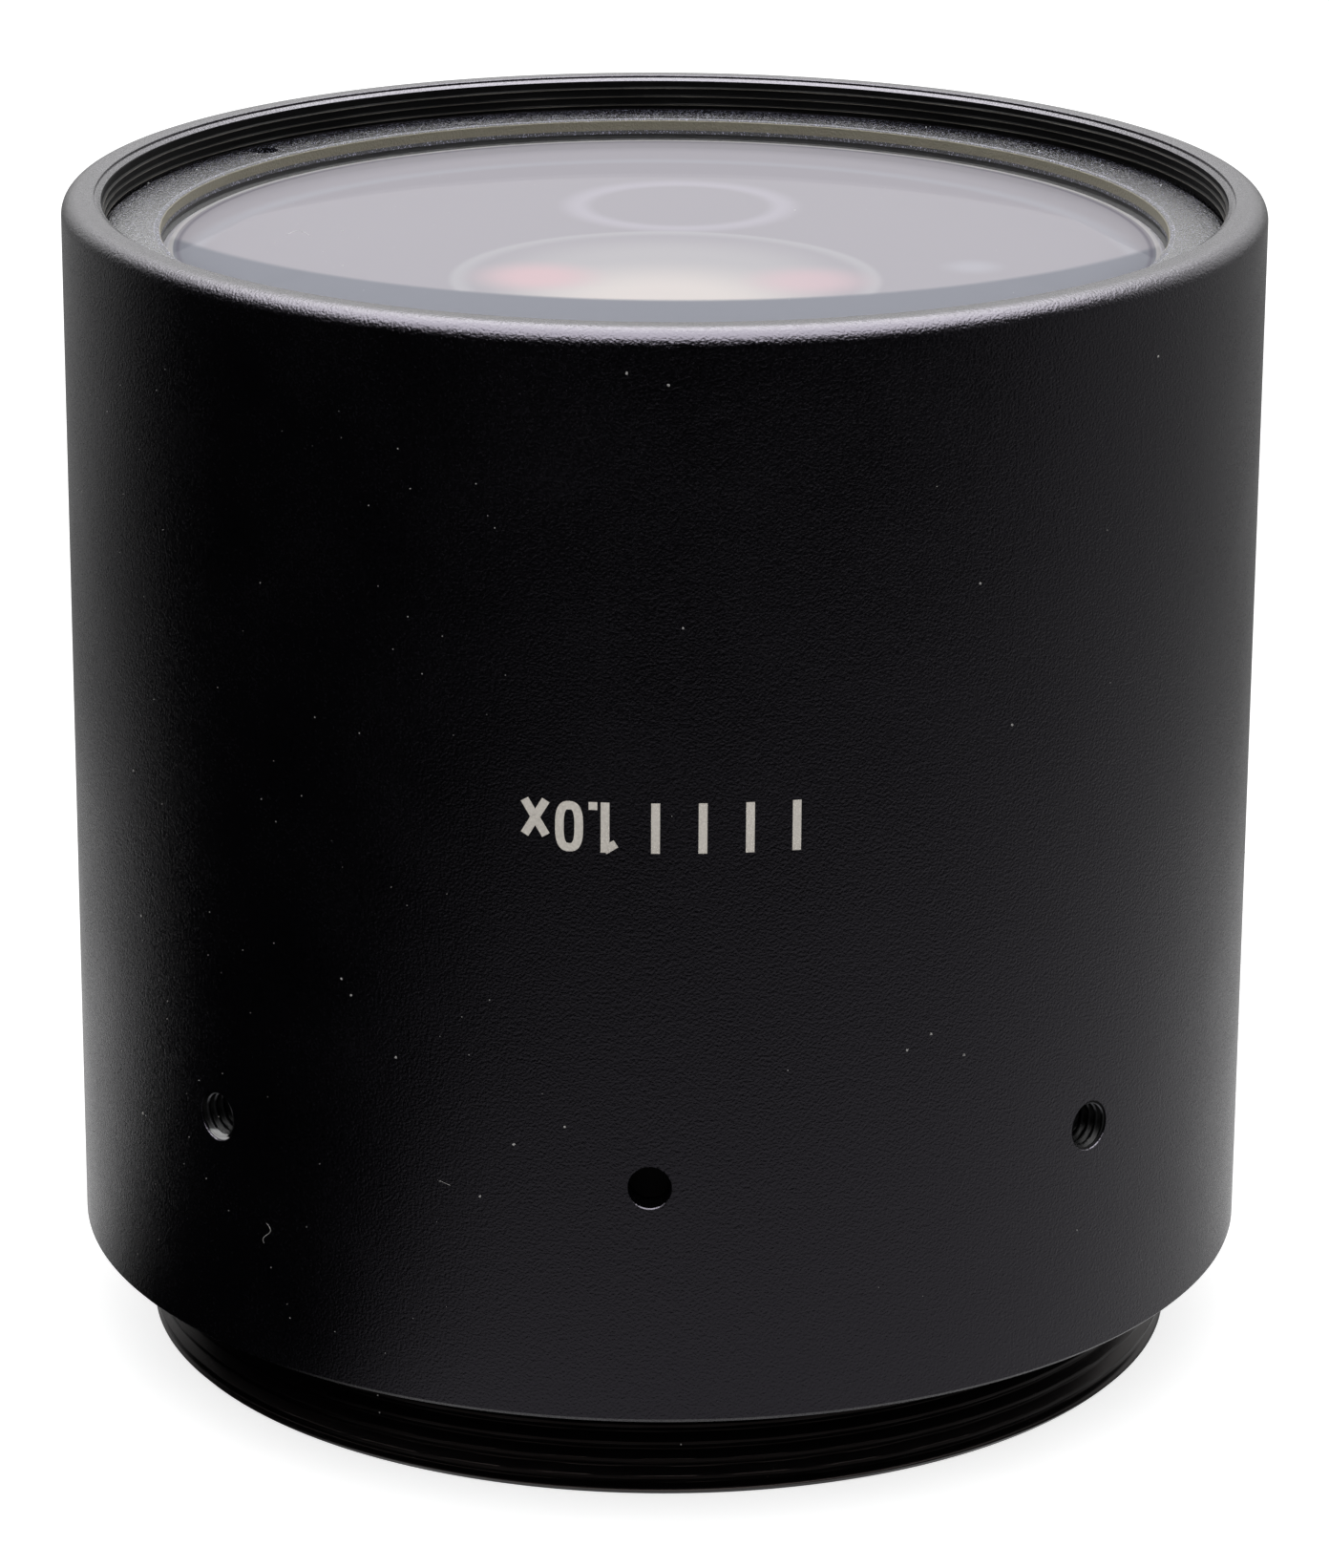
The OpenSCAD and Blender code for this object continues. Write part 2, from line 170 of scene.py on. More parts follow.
def noise(tree, grain_mm, detail):
    node = tree.nodes.new("ShaderNodeTexNoise")
    node.inputs["Scale"].default_value = 1 / (grain_mm * MM)
    node.inputs["Detail"].default_value = detail
    tree.links.new(object_place(tree), node.inputs["Vector"])
    return node.outputs["Fac"]


def split_xyz(tree, place):
    node = tree.nodes.new("ShaderNodeSeparateXYZ")
    tree.links.new(place, node.inputs[0])
    return tuple(node.outputs)


def distance_from(tree, x_mm, y_mm, z_mm):
    node = tree.nodes.new("ShaderNodeVectorMath")
    node.operation = "DISTANCE"
    node.inputs[1].default_value = (x_mm * MM, y_mm * MM, z_mm * MM)
    tree.links.new(object_place(tree), node.inputs[0])
    return node.outputs["Value"]


def radius_of(tree):
    """Distance from the axis, and height, both in metres."""
    x, y, z = split_xyz(tree, object_place(tree))
    squares = math_node(tree, "MULTIPLY_ADD", x, x, math_node(tree, "MULTIPLY", y, y))
    return math_node(tree, "SQRT", squares), z


print("node helpers:", [f.__name__ for f in (math_node, remap, mix_numbers, mix_colours, noise, radius_of)])

# %% [markdown]
# ## Finishes
# A real surface is never one colour. Each finish below is the Principled shader with three small
# layers on it: a grain that shifts the colour, the same grain in the roughness, and a bump. Wide soft
# patches lie under the grain. What is the same everywhere, such as how metallic a finish is, is typed
# on the shader itself.

# %% A finish with grain, uneven gloss and bump
PATCH = 6.0


def finish(name, dark, light, grain, rough, bump, **fixed):
    """grain and bump depth in mm; rough is the roughness of the smoothest and the dullest spots."""
    material = bpy.data.materials.new(name)
    material.use_nodes = True
    tree = material.node_tree
    shader = tree.nodes["Principled BSDF"]
    for socket, value in fixed.items():
        shader.inputs[socket.replace("_", " ")].default_value = value
    grains = noise(tree, grain, 3.0)
    both = math_node(tree, "MULTIPLY_ADD", noise(tree, PATCH, 2.0), 0.5, grains)
    colour = mix_colours(tree, remap(tree, both, 0.5, 1.0, 0, 1), dark, light)
    tree.links.new(colour, shader.inputs["Base Color"])
    tree.links.new(remap(tree, both, 0.45, 1.05, *rough), shader.inputs["Roughness"])
    relief = tree.nodes.new("ShaderNodeBump")
    relief.inputs["Distance"].default_value = bump * MM
    relief.inputs["Strength"].default_value = 1
    tree.links.new(grains, relief.inputs["Height"])
    tree.links.new(relief.outputs["Normal"], shader.inputs["Normal"])
    return material


def tint_where(material, mask, colour):
    """Lays a second colour over a finish, where the mask is 1."""
    tree = material.node_tree
    base = tree.nodes["Principled BSDF"].inputs["Base Color"]
    tree.links.new(mix_colours(tree, mask, base.links[0].from_socket, colour), base)

# %% [markdown]
# ## The blacks of a lens mount
# One word, black, covers several finishes here. The sleeve is blasted before it is anodised, which
# gives a soft matte with a fine pebble. The barrel with the thread is bare gloss black. The ring in
# front is satin, with painted glints in its colour that stand for a coarser sparkle, and everything
# behind the glass is flat black that drinks light. The paint inside a thread or a hole hardly mirrors
# at all, so its specular level is low.

# %% Black metal finishes
THREAD_DARK, THREAD_LIGHT = (0.0006, 0.0006, 0.0006), (0.0014, 0.0014, 0.0014)
sleeve_black = finish(
    "blasted_matte_black", (0.0004, 0.0004, 0.0006), (0.0016, 0.0015, 0.0021),
    grain=0.14, rough=(0.14, 0.32), bump=0.046, Specular_Tint=(0.91, 0.85, 1.0, 1))
barrel_black = finish(
    "gloss_anodised_black", (0.0005, 0.0004, 0.0005), (0.0012, 0.0011, 0.0012),
    grain=0.4, rough=(0.22, 0.28), bump=0.0005, Specular_IOR_Level=0.09, Specular_Tint=(1.0, 0.82, 0.78, 1))
ring_black = finish(
    "satin_black_painted_sparkle", (0.002, 0.002, 0.003), (0.012, 0.012, 0.018),
    grain=0.14, rough=(0.17, 0.3), bump=0.06, Specular_IOR_Level=0.95)
inner_black = finish(
    "flat_black_inside", (0.008, 0.008, 0.008), (0.016, 0.016, 0.017), grain=0.3, rough=(0.6, 0.8), bump=0.004)
# The tapped thread comes as a lit copy with a painted glint and a shaded copy of the same finish.
hole_thread = finish(
    "tapped_thread_black", THREAD_DARK, THREAD_LIGHT,
    grain=0.1, rough=(0.3, 0.45), bump=0.001, Specular_IOR_Level=0.08)
shaded_thread = finish(
    "tapped_thread_shaded", THREAD_DARK, THREAD_LIGHT,
    grain=0.1, rough=(0.3, 0.45), bump=0.001, Specular_IOR_Level=0.08)
fine_thread = finish(
    "fine_thread_black", THREAD_DARK, THREAD_LIGHT,
    grain=0.3, rough=(0.45, 0.6), bump=0.002, Specular_IOR_Level=0.06)
seal_rubber = finish(
    "black_seal_rubber", (0.010, 0.010, 0.010), (0.02, 0.02, 0.02), grain=0.25, rough=(0.55, 0.75), bump=0.006)
screw_steel = finish(
    "blackened_screw_steel", (0.02, 0.02, 0.022), (0.05, 0.05, 0.055),
    grain=0.2, rough=(0.3, 0.5), bump=0.004, Metallic=0.6)
pin_steel = finish(
    "blackened_pin_steel", (0.0006, 0.0005, 0.0005), (0.0015, 0.0013, 0.0012),
    grain=0.15, rough=(0.4, 0.6), bump=0.002, Specular_IOR_Level=0.05)
brass = finish(
    "rolled_shim_brass", (0.62, 0.46, 0.2), (0.76, 0.6, 0.3),
    grain=0.5, rough=(0.25, 0.45), bump=0.002, Metallic=1.0)
print("metal finishes:", [m.name for m in bpy.data.materials if "black" in m.name or "brass" in m.name])

# %% [markdown]
# ## Tints by place
# Some finishes change with the place. The ring has painted glints, bright grains that stand for
# sparkle, on its face, an olive sheen on its bore and a dull edge between the two. The crests of the
# front thread are tinted paler than its grooves. In the tapped holes the crests on the upper side get
# a painted highlight, and the foot of the mouth a painted glint, bright in the lit copy of the finish
# and faint in the shaded copy. Each tint has a mask that is made from the radius, the height, the side
# or the depth in the hole.

# %% Tints on the ring and on the threads, with painted glints and highlights
PAINTED_GLINT_GRAIN = 0.09
tree = ring_black.node_tree
away, height = radius_of(tree)
# Painted glints: bright grains in the ring's colour stand for the sparkle of its face.
tint_where(ring_black, remap(tree, noise(tree, PAINTED_GLINT_GRAIN, 1.0), 0.61, 0.68, 0, 1), (0.34, 0.34, 0.45))
inside = remap(tree, away, 27.67 * MM, 27.7 * MM, 1, 0)
upper = remap(tree, height, 62.4 * MM, 62.43 * MM, 0, 1)
tint_where(ring_black, math_node(tree, "MULTIPLY", inside, upper), (0.115, 0.105, 0.072))
gloss = tree.nodes["Principled BSDF"].inputs["Roughness"]
dull_edge = remap(tree, away, 27.95 * MM, 28 * MM, 0.85, 0)
tree.links.new(math_node(tree, "MAXIMUM", gloss.links[0].from_socket, dull_edge), gloss)

# Painted highlight on the crests of the upper side, and a painted glint on the foot of the mouth: bright in the lit
# copy, faint in the shaded one.
for thread, painted_foot_glint in ((hole_thread, 0.5), (shaded_thread, 0.012)):
    tree = thread.node_tree
    away, depth = radius_of(tree)
    _, side, _ = split_xyz(tree, object_place(tree))
    crest = remap(tree, away, 1.21 * MM, 1.24 * MM, 1, 0)
    lit_side = remap(tree, side, 0.3 * MM, 0.8 * MM, 0.06, 1)
    tint_where(thread, math_node(tree, "MULTIPLY", crest, lit_side), (0.15, 0.15, 0.16))
    foot = remap(tree, side, -1.1 * MM, -1 * MM, 1, 0)
    mouth = remap(tree, depth, 32.2 * MM, 32.4 * MM, 0, 1)
    tint_where(thread, math_node(tree, "MULTIPLY", foot, mouth), (painted_foot_glint, painted_foot_glint, painted_foot_glint))

tree = fine_thread.node_tree
away, _ = radius_of(tree)
tint_where(fine_thread, remap(tree, away, 30.72 * MM, 30.74 * MM, 1, 0), (0.045, 0.041, 0.036))
print("tinted finishes:", [m.name for m in (ring_black, hole_thread, shaded_thread, fine_thread)])

# %% [markdown]
# ## Finishes on the CAD nodes
# Pieces whose CAD shape is all that shows, such as the rings, spacers and seals, stay in the scene as
# they are. They only trade the flat colour of the drawing for one of the finishes.

# %% CAD nodes that keep their shape
FINISH_OF = {
    "parfocal_shim": brass, "front_retaining_ring": ring_black,
    "front_seal": seal_rubber, "front_spacer": inner_black, "middle_spacer": inner_black,
    "glare_stop": inner_black, "rear_cell": inner_black, "rear_spacer": inner_black,
    "rear_seal": seal_rubber, "rear_retaining_ring": inner_black, "cell_lock_ring": inner_black,
    "set_screws": screw_steel, "locating_pin": pin_steel,
}
for node, material in FINISH_OF.items():
    nodes[node].material_slots[0].material = material
print("nodes with a new finish:", len(FINISH_OF))

# %% [markdown]
# ## The sleeve
# The sleeve is the large black tube. Its rim is turned in steps: a round outside, a flat land, a
# fine step, a lead-in chamfer and the bore for the front thread. Each corner has a tiny break that
# catches a line of light, as real turned corners do. Rows of points lie close together at the height
# of the radial holes, so that the faces around a hole stay small.

# %% Sleeve outline
FOOT_CHAMFER, RIM_ROUND, EDGE_BREAK, STEP_BREAK = 0.25, 1.0, 0.05, 0.04


def round_corner(cr, cz, radius, start, stop, steps):
    """Points of a turned corner round the centre (cr, cz), from one angle in degrees to the other."""
    angles = [math.radians(start + (stop - start) * k / steps) for k in range(steps + 1)]
    return [(cr + radius * math.cos(a), cz + radius * math.sin(a)) for a in angles]


rows_below = [SHOULDER_Z + FOOT_CHAMFER + 2 * k for k in range(6)]
rows_at_holes = [HOLE_Z + 0.3 * k for k in range(-7, 8)]
rows_above = [22 + 3 * k for k in range(14)]
rim = [
    *round_corner(SLEEVE_R - RIM_ROUND, RIM_Z - RIM_ROUND, RIM_ROUND, 0, 90, 16),
    *round_corner(LAND_R + EDGE_BREAK, RIM_Z - EDGE_BREAK, EDGE_BREAK, 90, 180, 4),
    (LAND_R, LEAD_IN_TOP), *round_corner(31.1, LEAD_IN_TOP - STEP_BREAK, STEP_BREAK, 90, 120, 3),
    (THREAD_ROOT_R, LEAD_IN_LOW)]
bores = [
    (THREAD_ROOT_R, 62.8), (FRONT_BORE_R, 62.66), (FRONT_BORE_R, SEAT_Z), (BORE_R, SEAT_Z),
    (BORE_R, LIP_TOP_Z), (LIP_R, LIP_TOP_Z)]
sleeve = spin("sleeve_body", [
    (LIP_R, SHOULDER_Z), (SLEEVE_R - FOOT_CHAMFER, SHOULDER_Z),
    *[(SLEEVE_R, z) for z in rows_below + rows_at_holes + rows_above], *rim, *bores], around=360, sharp=28)

# %% [markdown]
# ## The radial holes
# A hole across a tube can't be spun, so the five holes are cut with a Boolean. Each cutter is a slim
# turned plug that flares at the mouth, which leaves a small break on the edge of the hole.

# %% Holes in the sleeve
HOLE_FLOOR_R, MOUTH_BREAK, FLARE = 25, 0.05, 0.25


def along_hole(turn_deg):
    """Turns a piece that was spun round the vertical axis into the line of a radial hole."""
    lay_down = Matrix.Translation((0, 0, HOLE_Z * MM)) @ Matrix.Rotation(math.radians(90), 4, "X")
    return Matrix.Rotation(math.radians(turn_deg), 4, "Z") @ lay_down


def cut_hole(piece, turn_deg, r):
    mouth = SLEEVE_R - MOUTH_BREAK
    plug = [(0, HOLE_FLOOR_R), (r, HOLE_FLOOR_R), (r, mouth), (r + FLARE, mouth + FLARE),
            (r + FLARE, SLEEVE_R + 1), (0, SLEEVE_R + 1)]
    cutter = spin("cutter", plug, around=64, closed=False)
    cutter.data.transform(along_hole(turn_deg))
    boolean = piece.modifiers.new("hole", "BOOLEAN")
    boolean.operation, boolean.solver, boolean.object = "DIFFERENCE", "EXACT", cutter
    cut = piece.evaluated_get(bpy.context.evaluated_depsgraph_get())
    mesh = bpy.data.meshes.new_from_object(cut)
    piece.modifiers.clear()
    piece.data = mesh
    bpy.data.objects.remove(cutter)


for turn_deg, r in [(turn, TAPPED_R) for turn in TAPPED_AT] + [(0, PIN_HOLE_R)]:
    cut_hole(sleeve, turn_deg, r)
sleeve.data.polygons.foreach_set("use_smooth", [True] * len(sleeve.data.polygons))
sleeve.data.set_sharp_from_angle(angle=math.radians(28))
sleeve.data.materials.clear()
sleeve.data.materials.append(sleeve_black)
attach(sleeve, "root"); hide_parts("outer_sleeve")
print(f"{sleeve.name}: {len(sleeve.data.polygons)} faces with its holes")

# %% [markdown]
# ## The mounting thread
# The barrel ends in a thread of 1 mm pitch that screws into the microscope. Its ridges are one long
# spiral, so going once round lifts them by one pitch. The barrel is spun from its CAD outline, with
# many rows where the thread is, and the push function moves each point into the groove or out to the
# crest. Cutting the same spiral with a Boolean would be slower and gives long thin triangles.

# %% Barrel with a real thread
CREST_FLAT, MOUNT_GROOVE = 0.16, 0.45
THREAD_START_Z, THREAD_TALL, THREAD_ROWS = 0.3, 4.8, 168
THREAD_STOP_Z, RELIEF_R = 5.1, 28.75


def ridge(phase):
    """Height from 0 to 1 of a thread with a narrow crest, at a phase from 0 to 1 round the crest."""
    away = abs((phase + 0.5) % 1 - 0.5) * 2
    return min(1, max(0, (1 - away - CREST_FLAT * 0.4) / (1 - CREST_FLAT * 1.4)))


def mount_push(r, z, turn):
    if abs(r - MOUNT_R) > 1e-6:
        return r
    height = ridge((z - 1.06) / MOUNT_PITCH - turn / (2 * math.pi))
    run_in = min(1, max(0, (z - THREAD_START_Z) / 0.3))
    run_out = min(1, max(0, (THREAD_STOP_Z - z) / 0.25))
    return MOUNT_R - MOUNT_GROOVE * (1 - height) * run_in * run_out


thread_rows = [(MOUNT_R, THREAD_START_Z + THREAD_TALL * k / THREAD_ROWS) for k in range(THREAD_ROWS + 1)]
outside = [
    (26.85, 0), (28.9, 0), *thread_rows, (RELIEF_R, THREAD_STOP_Z), (RELIEF_R, SHOULDER_Z),
    (29.5, SHOULDER_Z), (29.5, 9.2), (30.1, 9.2), (30.1, 60.15), (29.85, SEAT_Z)]
inside = [
    (28.75, SEAT_Z), (28.5, 60.15), (28.5, 40.03), (22.6, 40.03), (22.6, 37.03), (26.6, 37.03), (26.6, 0.25)]
barrel = spin("barrel_with_thread", outside + inside, around=256, push=mount_push)
barrel.data.materials.append(barrel_black)
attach(barrel, "root"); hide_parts("lens_barrel")

# %% [markdown]
# ## The thread inside the front rim
# Filters and ring lights screw into the front. That thread is fine, 0.5 mm, and its ridges stand inward.
# A thin band with a spiral of narrow crests lies just inside the sleeve's own wall, because two walls
# at the same place would flicker through each other.

# %% Front thread
FRONT_CREST, CREST_HALF, WALL_GAP, FRONT_ROWS = 0.14, 0.32, 0.01, 68


def front_push(r, z, turn):
    if r > THREAD_ROOT_R:
        return r
    away = abs(((z - 64.3) / FINE_PITCH + turn / (2 * math.pi)) % 1 - 0.5) * 2
    run_in = min(1, max(0, (LEAD_IN_LOW - z) / 0.2))
    return THREAD_ROOT_R - WALL_GAP - FRONT_CREST * max(0, 1 - away / CREST_HALF) * run_in


row_step = (LEAD_IN_LOW - RING_FACE_Z) / FRONT_ROWS
front_rows = [(THREAD_ROOT_R, RING_FACE_Z + row_step * k) for k in range(FRONT_ROWS + 1)]
back_r = THREAD_ROOT_R + 0.05
front_thread = spin(
    "front_thread", [(back_r, RING_FACE_Z), *front_rows, (back_r, LEAD_IN_LOW)], around=256, push=front_push)
front_thread.data.materials.append(fine_thread)
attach(front_thread, "root")

# %% [markdown]
# ## Threads in the set screw holes
# Each tapped hole shows two or three crests above its screw. They are the same kind of band as before,
# spun small and turned to lie along the hole. Three holes share one mesh in the shaded copy of the finish.
# The fourth, at the front left, has a copy of it in the lit copy, with a painted glint on the foot of its mouth.

# %% Tapped hole threads
BAND_TALL, BAND_ROWS, SCREW_CREST, LIT_HOLE = 1.78, 36, 0.17, 3


def hole_push(r, z, turn):
    return r if r > TAPPED_R + 0.01 else TAPPED_R - SCREW_CREST * ridge(z / FINE_PITCH + turn / (2 * math.pi))


band_rows = [(TAPPED_R, SCREW_TOP_R + 0.02 + BAND_TALL * k / BAND_ROWS) for k in range(BAND_ROWS + 1)]
back_r = TAPPED_R + 0.02
band_outline = [(back_r, band_rows[0][1]), *band_rows, (back_r, band_rows[-1][1])]
first_band = spin("tapped_hole_thread_0", band_outline, around=48, push=hole_push)
first_band.data.materials.append(shaded_thread)
for k, turn_deg in enumerate(TAPPED_AT):
    band = add_piece(f"tapped_hole_thread_{k}", first_band.data) if k else first_band
    # The front-left hole gets the lit copy of the finish, with its painted glint.
    if k == LIT_HOLE:
        band.data = band.data.copy()
        band.data.materials[0] = hole_thread
    band.matrix_world = along_hole(turn_deg)
    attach(band, "root")
print("tapped holes:", len(TAPPED_AT))

# %% [markdown]
# ## Glass
# A lens has three kinds of surface. The polished faces bend light. The cemented face between two
# elements is almost invisible, because the cement has nearly the index of the glass, so light goes
# straight on. The ground edge is frosted.

# %% Glass finishes
def glass(name, tint, ior):
    return finish(name, tint, tint, grain=4.0, rough=(0.0, 0.015), bump=0.0, IOR=ior, Transmission_Weight=1.0)


crown = glass("coated_crown_glass", (0.97, 0.96, 1.0), 1.52)
flint = glass("coated_flint_glass", (0.97, 0.96, 0.99), 1.52)
cement = finish(
    "clear_cement", (1, 1, 1), (0.99, 0.99, 1),
    grain=3.0, rough=(0.0, 0.002), bump=0.0, IOR=1.0, Transmission_Weight=1.0)
ground = finish(
    "ground_glass_edge", (0.5, 0.49, 0.52), (0.62, 0.61, 0.64), grain=0.15, rough=(0.5, 0.7), bump=0.004, IOR=1.52)
bevel_glass = finish(
    "ground_glass_bevel", (0.62, 0.61, 0.66), (0.74, 0.73, 0.78), grain=0.2, rough=(0.35, 0.5), bump=0.002, IOR=1.52)
print("glass finishes:", [m.name for m in bpy.data.materials if "glass" in m.name or "cement" in m.name])

# %% [markdown]
# ## The film on the front face
# Seen from above, the front face is clear. Seen from low down, the same face turns milky and lilac,
# because the line of sight runs a long way through the coating and the fine haze on it. Layer Weight
# gives that change with angle. On the haze lie painted light and shade: a crescent of painted shade in
# front, where the haze also thins, and painted reflections of the pale rings that the deeper faces throw
# back, all of them soft circles in the plane of the glass. The film is what shows here, so the index of
# the face is set near 1, which takes its mirror image away.

# %% Soft circles on the glass
COATING_LILAC = (0.62, 0.595, 0.65)


def disc(tree, x_mm, y_mm, inner, outer, from_value, to_value):
    """A soft circle on the glass: from_value inside the inner radius, to_value outside the outer one."""
    distance = distance_from(tree, x_mm, y_mm, FRONT_Z)
    return remap(tree, distance, inner * MM, outer * MM, from_value, to_value, smooth=True)


def circle(tree, x_mm, y_mm, inner, middle, outer, strength):
    """A soft ring on the glass, strongest at the middle radius."""
    rise = disc(tree, x_mm, y_mm, inner, middle, 0.0, strength)
    return math_node(tree, "MULTIPLY", rise, disc(tree, x_mm, y_mm, middle, outer, 1.0, 0.0))


# Lays painted reflections, a painted glint and painted shade on the lilac of the coating.
def paint_marks_on_haze(tree, shader, painted_marks):
    """Starts from the lilac of the coating and lays each painted mark (mask, colour) over what is there:
    reflections, a glint and shade.
    """
    below = COATING_LILAC
    for mask, colour in painted_marks:
        below = mix_colours(tree, mask, below, colour)
    tree.links.new(below, shader.inputs["Base Color"])

# %% [markdown]
# The painted marks below go from the lowest to the topmost: a reflected ring near the far edge, a small
# reflected ring behind the middle, a wide reflected disc with its halo, a painted glint at the side, a
# cream pool of painted light with a pink patch on each side, the crescent of painted shade in front, and
# last a painted dark line and a painted highlight along the edge of the polished face.

# %% Haze on the front face, with painted reflections and painted shade
# Real haze, with painted reflections and painted shade laid on it.
def hazed_front():
    material = glass("hazed_front_glass_painted_light", (0.97, 0.96, 1.0), 1.03)
    tree = material.node_tree
    shader = tree.nodes["Principled BSDF"]
    facing = tree.nodes.new("ShaderNodeLayerWeight")
    facing.inputs["Blend"].default_value = 0.5
    low_view = remap(tree, facing.outputs["Facing"], 0.25, 0.78, 0.03, 0.96, smooth=True)
    # Painted shade: in a crescent on the near side the haze thins and turns slate.
    crescent = disc(tree, 0, 20, 33.2, 34.0, 0.0, 1.0)
    cover = math_node(tree, "MULTIPLY", low_view, remap(tree, crescent, 0, 1, 1.0, 0.8))
    tree.links.new(math_node(tree, "SUBTRACT", 1.0, cover), shader.inputs["Transmission Weight"])
    # Painted reflections of the deeper faces, a painted glint, a pool of painted light, the crescent of painted
    # shade, and a painted dark line and painted highlight at the edge.
    paint_marks_on_haze(tree, shader, (
        (circle(tree, 0, -4.5, 25.0, 25.8, 26.8, 0.5), (0.72, 0.73, 0.8)),
        (circle(tree, 0.7, 9.4, 4.7, 5.7, 7.2, 0.9), (0.74, 0.71, 0.79)),
        (disc(tree, 0.2, -8.7, 6.0, 11.5, 1.0, 0.0), (0.73, 0.71, 0.745)),
        (circle(tree, 0.2, -8.7, 10.2, 11.3, 11.8, 0.7), (0.75, 0.74, 0.78)),
        (disc(tree, 16.8, -5.2, 0.3, 2.2, 0.5, 0.0), (0.78, 0.78, 0.86)),
        (disc(tree, 0.2, -13.5, 2.5, 10.0, 1.0, 0.0), (1.0, 0.93, 0.91)),
        (disc(tree, -6.7, -8.4, 0.8, 4.4, 0.85, 0.0), (1.0, 0.74, 0.79)),
        (disc(tree, 7.9, -8.9, 0.8, 4.4, 0.7, 0.0), (0.98, 0.74, 0.8)),
        (crescent, (0.465, 0.48, 0.555)),
        (circle(tree, 0, 0, 26.5, 26.72, 26.9, 0.6), (0.3, 0.28, 0.36)),
        (disc(tree, 0, 0, 26.92, 27.02, 0.0, 1.0), (1.0, 0.98, 1.0)),
    ))
    print(f"{material.name}: {len(tree.nodes)} nodes")
    return material


front_glass = hazed_front()

# %% [markdown]
# ## Lenses
# Each lens is spun with one finish per stretch of outline: upper face, edge and lower face. The curved
# faces get many rings, because glass shows every facet. Two elements that are cemented share the same
# arc. The sizes are those of the CAD source.

# %% Lens helpers
def arc(curve, half, land_z, way, rings=36):
    """Points of a spherical face from the axis out to a half width; way is +1 if it bulges up."""
    at_edge = math.sqrt(curve ** 2 - half ** 2)
    steps = [half * k / rings for k in range(rings + 1)]
    return [(r, land_z + way * (math.sqrt(curve ** 2 - r ** 2) - at_edge)) for r in steps]


def flat(half, z, rings=8):
    return [(half * k / rings, z) for k in range(rings + 1)]


def lens(name, node, upper, edge, lower, faces):
    """upper and lower run from the axis out, edge goes round the rim; faces finish upper, edge, lower."""
    slots = [0] * (len(upper) - 1) + [1] * (len(edge) + 1) + [2] * (len(lower) - 1)
    piece = spin(name, upper + edge + lower[::-1], closed=False, slots=slots)
    for material in faces:
        piece.data.materials.append(material)
    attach(piece, "root"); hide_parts(node)
    return piece

# %% [markdown]
# The front element has a ground bevel, and outside it a blackened strip that keeps stray light away.
# Both are narrow rings of its upper side, so they are picked out by the radius of their faces.

# %% Front lens
FACE_OUT, BEVEL_OUT, STRIP_OUT = 27.22, 27.5, 27.75
front_cement = arc(80, FRONT_R, FRONT_CEMENT_Z, -1)
front_edge = [(27.4, 61.8), (27.55, 61.72), (27.6, 61.72), (STRIP_OUT, FRONT_Z), (28.15, FRONT_Z), (FRONT_R, 61.65)]
front_lens = lens(
    "front_lens_crown", "front_crown", flat(FACE_OUT, FRONT_Z), front_edge, front_cement,
    (front_glass, ground, cement, bevel_glass, inner_black))
for face in front_lens.data.polygons:
    out = math.hypot(face.center.x, face.center.y) / MM
    if FACE_OUT < out < STRIP_OUT and face.center.z / MM > 61.6:
        face.material_index = 3 if out < BEVEL_OUT else 4
lens(
    "front_lens_flint", "front_flint", front_cement, [(FRONT_R, 53.23)],
    arc(260, 26.4, 53.23, -1), (cement, ground, flint))

# %% [markdown]
# The middle lens is a single element. The relay pair is cemented again, and the rear lens closes the
# end near the mounting thread.

# %% Middle, relay and rear lenses
lens(
    "middle_lens_glass", "middle_lens", arc(180, 26.4, 48.23, 1),
    [(28.15, 48.23), (28.4, 47.98), (28.4, 45.48), (28.15, 45.23)], arc(120, 26.4, 45.23, -1),
    (crown, ground, crown))
relay_cement = arc(62, 24.5, 32.33, -1)
lens(
    "relay_lens_crown", "relay_crown", arc(90, 22.4, 34.73, 1),
    [(24.25, 34.73), (24.5, 34.48)], relay_cement, (crown, ground, cement))
lens(
    "relay_lens_flint", "relay_flint", relay_cement, [(24.5, 20.48)],
    arc(48, 20.5, 20.48, 1), (cement, ground, flint))
lens(
    "rear_lens_glass", "rear_lens", arc(95, 22.4, 16.98, 1),
    [(24.25, 16.98), (24.5, 16.73), (24.5, 12.63), (24.25, 12.38)], arc(210, 22.4, 12.38, -1),
    (crown, ground, crown))

# %% [markdown]
# ## Print on the sleeve
# The sleeve carries one small print that reads upside down while the lens stands like this. Here it is
# a plain magnification number behind four index bars. Every stroke is a thin sheet of paint that is
# bent round the tube, so that its edges stay sharp at any size. A drawn texture would blur.

# %% Strokes
def densify(path, step=0.2):
    """Adds points to a path, so that a long stroke can follow the round of the tube."""
    out = []
    for a, b in zip(path, path[1:]):
        count = max(1, round(math.dist(a, b) / step))
        out += [(a[0] + (b[0] - a[0]) * k / count, a[1] + (b[1] - a[1]) * k / count) for k in range(count)]
    return out + [path[-1]]


def oval(x, half_wide, half_tall, steps=40, power=0.7):
    """A closed oval with nearly straight sides, like a printed zero."""
    turns = [2 * math.pi * k / steps for k in range(steps)]
    squarish = [[math.copysign(abs(v) ** power, v) for v in (math.sin(t), math.cos(t))] for t in turns]
    return [(x + half_wide * across, half_tall * along) for across, along in squarish]


